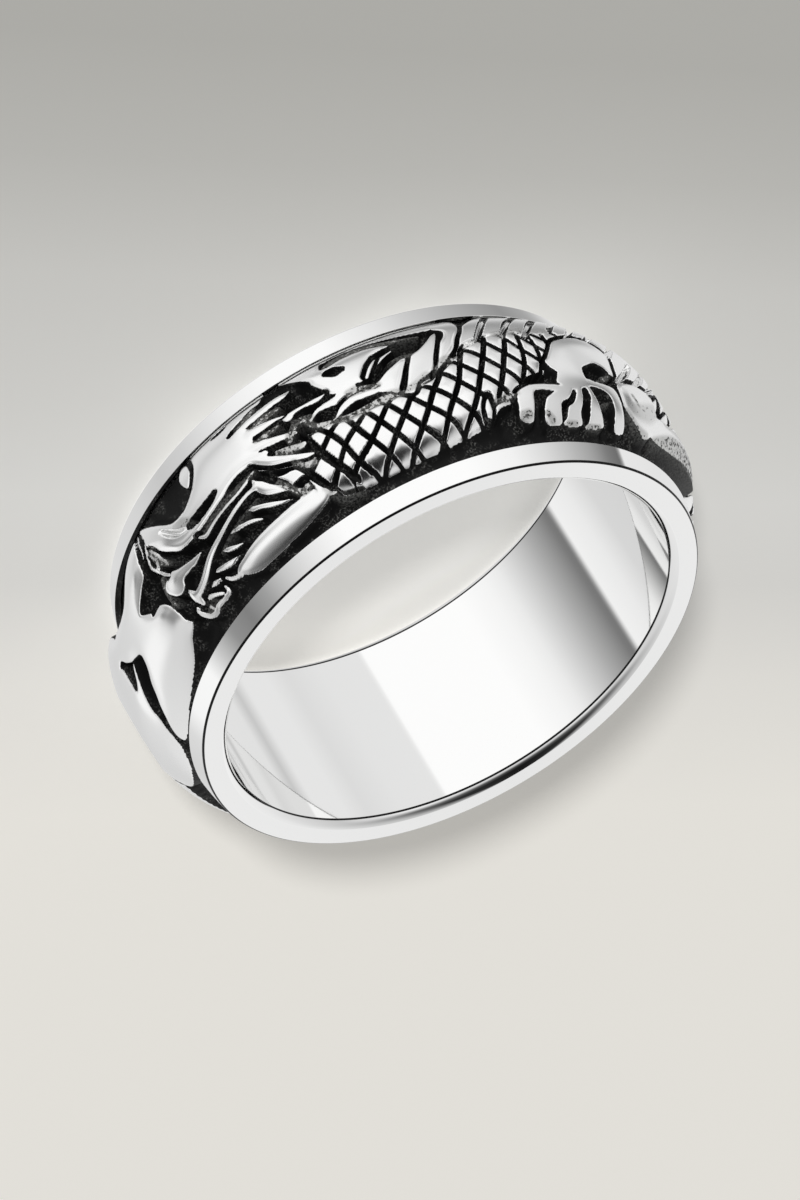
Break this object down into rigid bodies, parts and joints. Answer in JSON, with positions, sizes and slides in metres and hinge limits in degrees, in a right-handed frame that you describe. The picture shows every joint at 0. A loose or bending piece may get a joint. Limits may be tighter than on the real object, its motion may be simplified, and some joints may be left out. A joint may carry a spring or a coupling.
{
  "type": "spinner ring with a dragon in relief",
  "caption": "Silver finger ring with a plain channel-shaped base band and a cast dragon relief band that turns freely between its two raised rims.",
  "frame": {"origin": "middle of the ring's back face, which lies on the surface", "axes": "+Z along the bore, out of the front face; -Y toward the middle of the side of the dragon that the picture shows; +X to the side where the dragon's head faces"},
  "size_m": [0.0249, 0.0251, 0.009],
  "materials": {
    "polished_silver": "mirror-polished sterling silver",
    "oxidised_silver": "cast sterling silver, polished on its high parts and oxidised black in its hollows"
  },
  "bodies": {
    "base_band": {"base_band": "polished_silver"},
    "dragon_band": {"dragon_band": "oxidised_silver"}
  },
  "joints": [
    {"name": "dragon_spin", "type": "hinge", "parent": "base_band", "child": "dragon_band", "pos_m": [0, 0, 0.0045], "axis": [0, 0, 1], "continuous": true}
  ]
}
